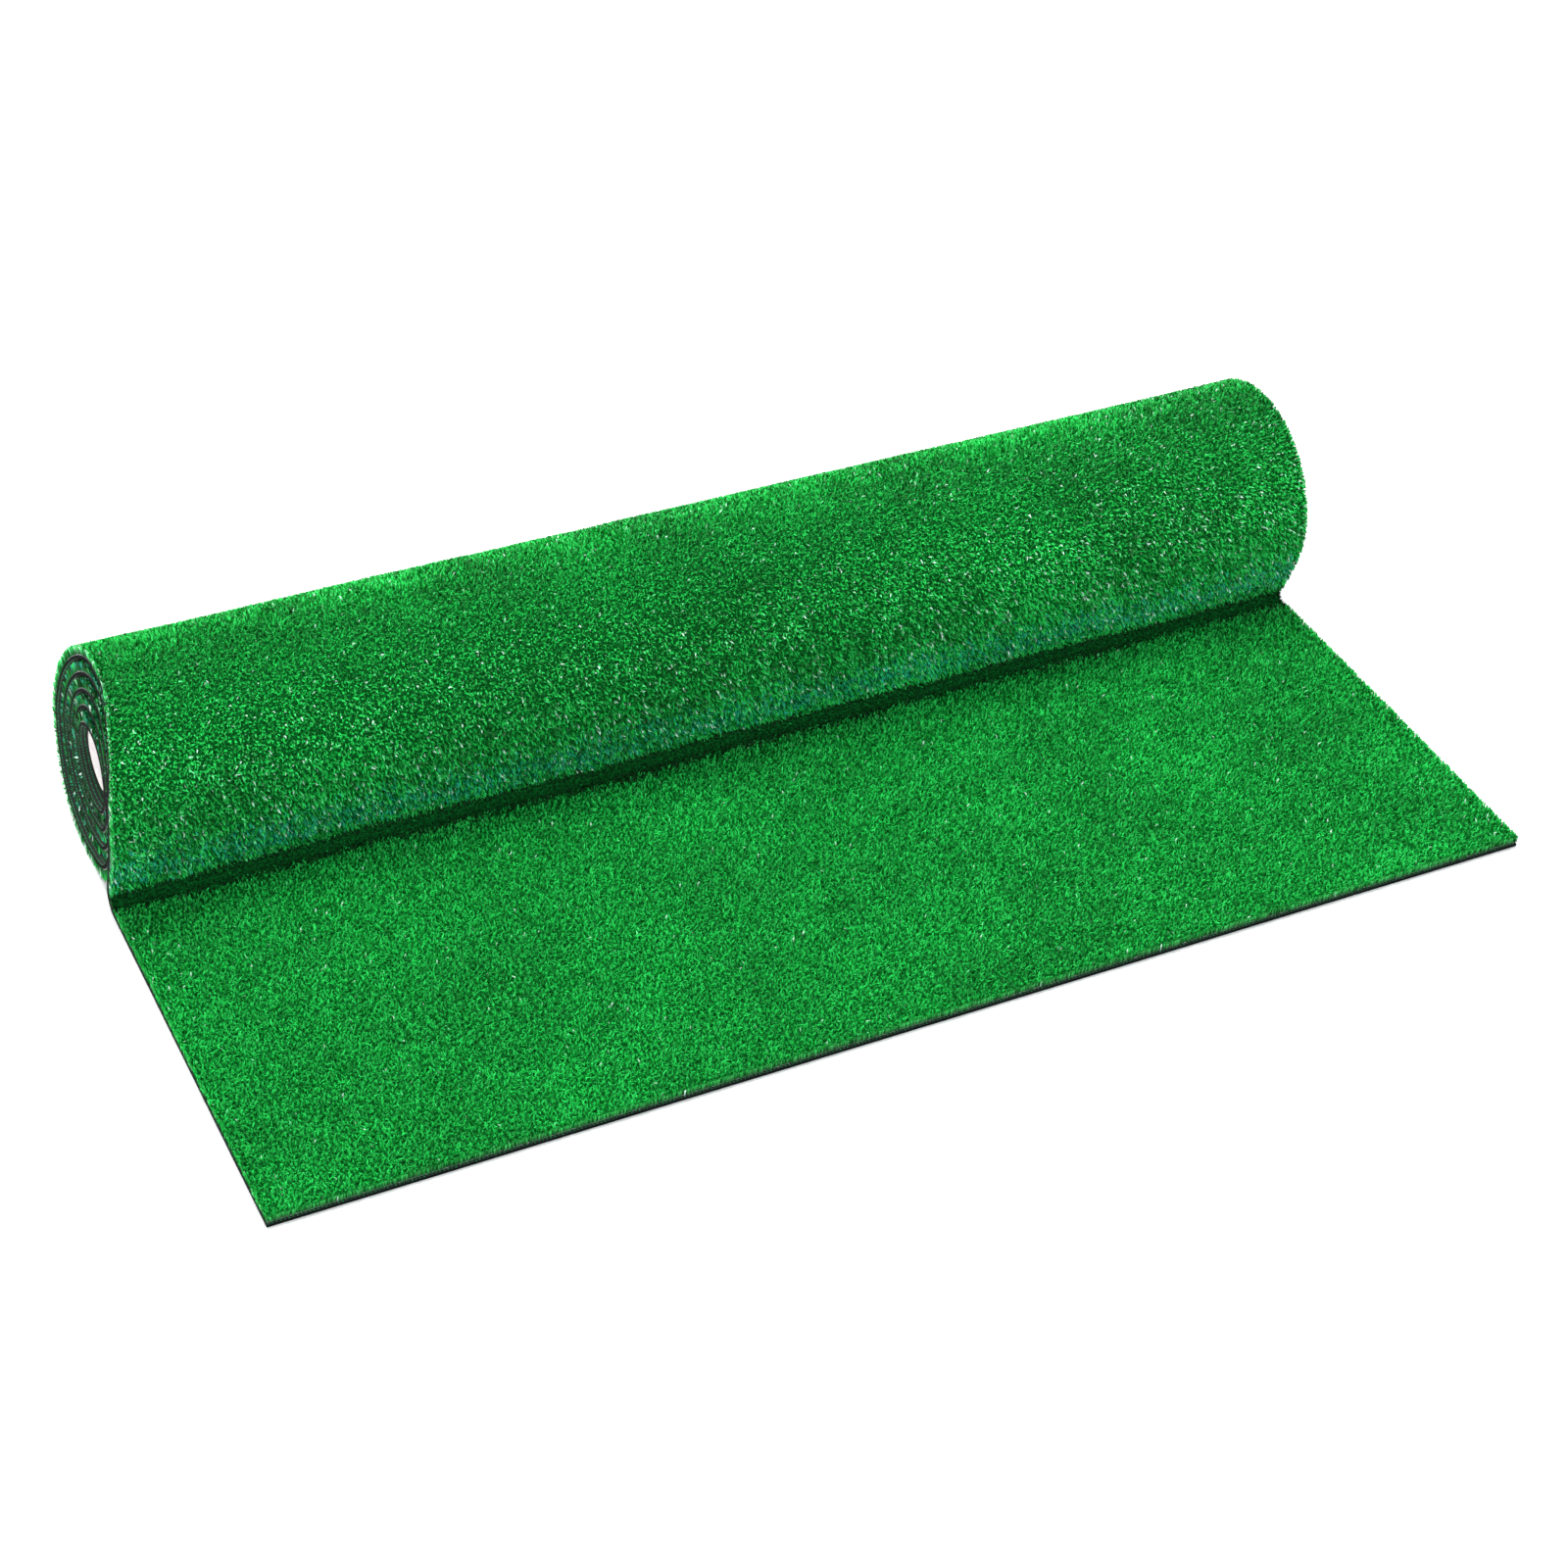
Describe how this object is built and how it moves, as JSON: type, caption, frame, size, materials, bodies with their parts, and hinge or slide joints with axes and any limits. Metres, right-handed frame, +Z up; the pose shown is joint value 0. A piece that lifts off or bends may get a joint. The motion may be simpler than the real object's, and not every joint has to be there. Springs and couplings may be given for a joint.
{
  "type": "practice putting mat",
  "caption": "Green short-pile practice putting mat, wound pile-out on a hollow card core, with its loose end laid flat in front of the roll.",
  "frame": {"origin": "on the floor, at the middle of the whole object's footprint", "axes": "+X along the roll, +Y from the loose end towards the back of the roll, +Z up"},
  "size_m": [0.926, 0.4471, 0.1543],
  "materials": {
    "pile": "short dense polyethylene pile, slightly shiny",
    "primary": "woven, matte",
    "latex": "ribbed, matte",
    "card": "smooth white card, matte"
  },
  "bodies": {
    "wound_roll": {"roll_pile": "pile", "roll_primary_backing": "primary", "roll_latex_backing": "latex", "fold_latex_backing": "latex"},
    "core": {"core_tube": "card"},
    "strip_1": {"strip_1_pile": "pile", "strip_1_primary_backing": "primary", "strip_1_latex_backing": "latex"},
    "strip_2": {"strip_2_pile": "pile", "strip_2_primary_backing": "primary", "strip_2_latex_backing": "latex"},
    "strip_3": {"strip_3_pile": "pile", "strip_3_primary_backing": "primary", "strip_3_latex_backing": "latex"},
    "strip_4": {"strip_4_pile": "pile", "strip_4_primary_backing": "primary", "strip_4_latex_backing": "latex"},
    "strip_5": {"strip_5_pile": "pile", "strip_5_primary_backing": "primary", "strip_5_latex_backing": "latex"},
    "strip_6": {"strip_6_pile": "pile", "strip_6_primary_backing": "primary", "strip_6_latex_backing": "latex"},
    "strip_7": {"strip_7_pile": "pile", "strip_7_primary_backing": "primary", "strip_7_latex_backing": "latex"}
  },
  "joints": [
    {"name": "core_pull_out", "type": "slide", "parent": "wound_roll", "child": "core", "axis": [-1, 0, 0], "range_m": [0, 0.95]},
    {"name": "loose_end_curl_1", "type": "hinge", "parent": "wound_roll", "child": "strip_1", "pos_m": [-0.006, 0.0644, 0.0011], "axis": [-1, 0, 0], "range_deg": [0, 48]},
    {"name": "loose_end_curl_2", "type": "hinge", "parent": "strip_1", "child": "strip_2", "pos_m": [-0.006, 0.02326, 0.0011], "axis": [-1, 0, 0], "range_deg": [0, 24]},
    {"name": "loose_end_curl_3", "type": "hinge", "parent": "strip_2", "child": "strip_3", "pos_m": [-0.006, -0.01789, 0.0011], "axis": [-1, 0, 0], "range_deg": [0, 24]},
    {"name": "loose_end_curl_4", "type": "hinge", "parent": "strip_3", "child": "strip_4", "pos_m": [-0.006, -0.05903, 0.0011], "axis": [-1, 0, 0], "range_deg": [0, 24]},
    {"name": "loose_end_curl_5", "type": "hinge", "parent": "strip_4", "child": "strip_5", "pos_m": [-0.006, -0.10017, 0.0011], "axis": [-1, 0, 0], "range_deg": [0, 24]},
    {"name": "loose_end_curl_6", "type": "hinge", "parent": "strip_5", "child": "strip_6", "pos_m": [-0.006, -0.14131, 0.0011], "axis": [-1, 0, 0], "range_deg": [0, 24]},
    {"name": "loose_end_curl_7", "type": "hinge", "parent": "strip_6", "child": "strip_7", "pos_m": [-0.006, -0.18246, 0.0011], "axis": [-1, 0, 0], "range_deg": [0, 24]}
  ],
  "couplings": [
    {"joint": "loose_end_curl_2", "follows": "loose_end_curl_1", "ratio": 0.5},
    {"joint": "loose_end_curl_3", "follows": "loose_end_curl_1", "ratio": 0.5},
    {"joint": "loose_end_curl_4", "follows": "loose_end_curl_1", "ratio": 0.5},
    {"joint": "loose_end_curl_5", "follows": "loose_end_curl_1", "ratio": 0.5},
    {"joint": "loose_end_curl_6", "follows": "loose_end_curl_1", "ratio": 0.5},
    {"joint": "loose_end_curl_7", "follows": "loose_end_curl_1", "ratio": 0.5}
  ]
}
